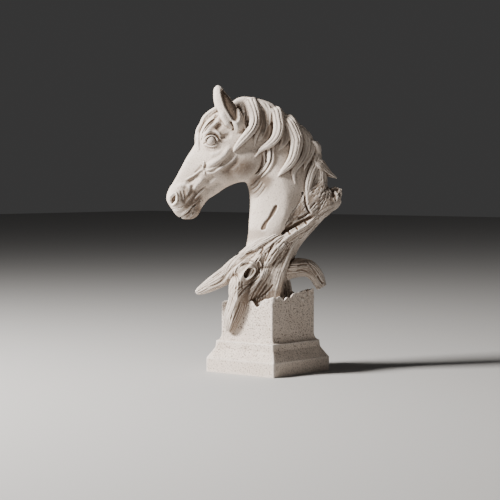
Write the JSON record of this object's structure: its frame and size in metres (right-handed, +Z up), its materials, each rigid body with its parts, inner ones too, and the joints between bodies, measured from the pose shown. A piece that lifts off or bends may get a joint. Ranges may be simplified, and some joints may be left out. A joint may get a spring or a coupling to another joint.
{
  "type": "horse head statue",
  "caption": "Horse head and neck growing out of a driftwood root on a square moulded plinth with a broken rim, cast in sand-coloured resin; stands on its flat underside.",
  "frame": {"origin": "middle of the plinth's square underside, on the surface it stands on", "axes": "+Z up; X and Y along the plinth's sides; the horse looks towards the (-X, -Y) corner"},
  "size_m": [0.1474, 0.1453, 0.3134],
  "materials": {
    "sandstone_resin": "matt sand-coloured polyresin with fine light and dark grit and a brown wash in the recesses"
  },
  "bodies": {
    "root": {"horse_head_statue": "sandstone_resin"}
  },
  "joints": []
}
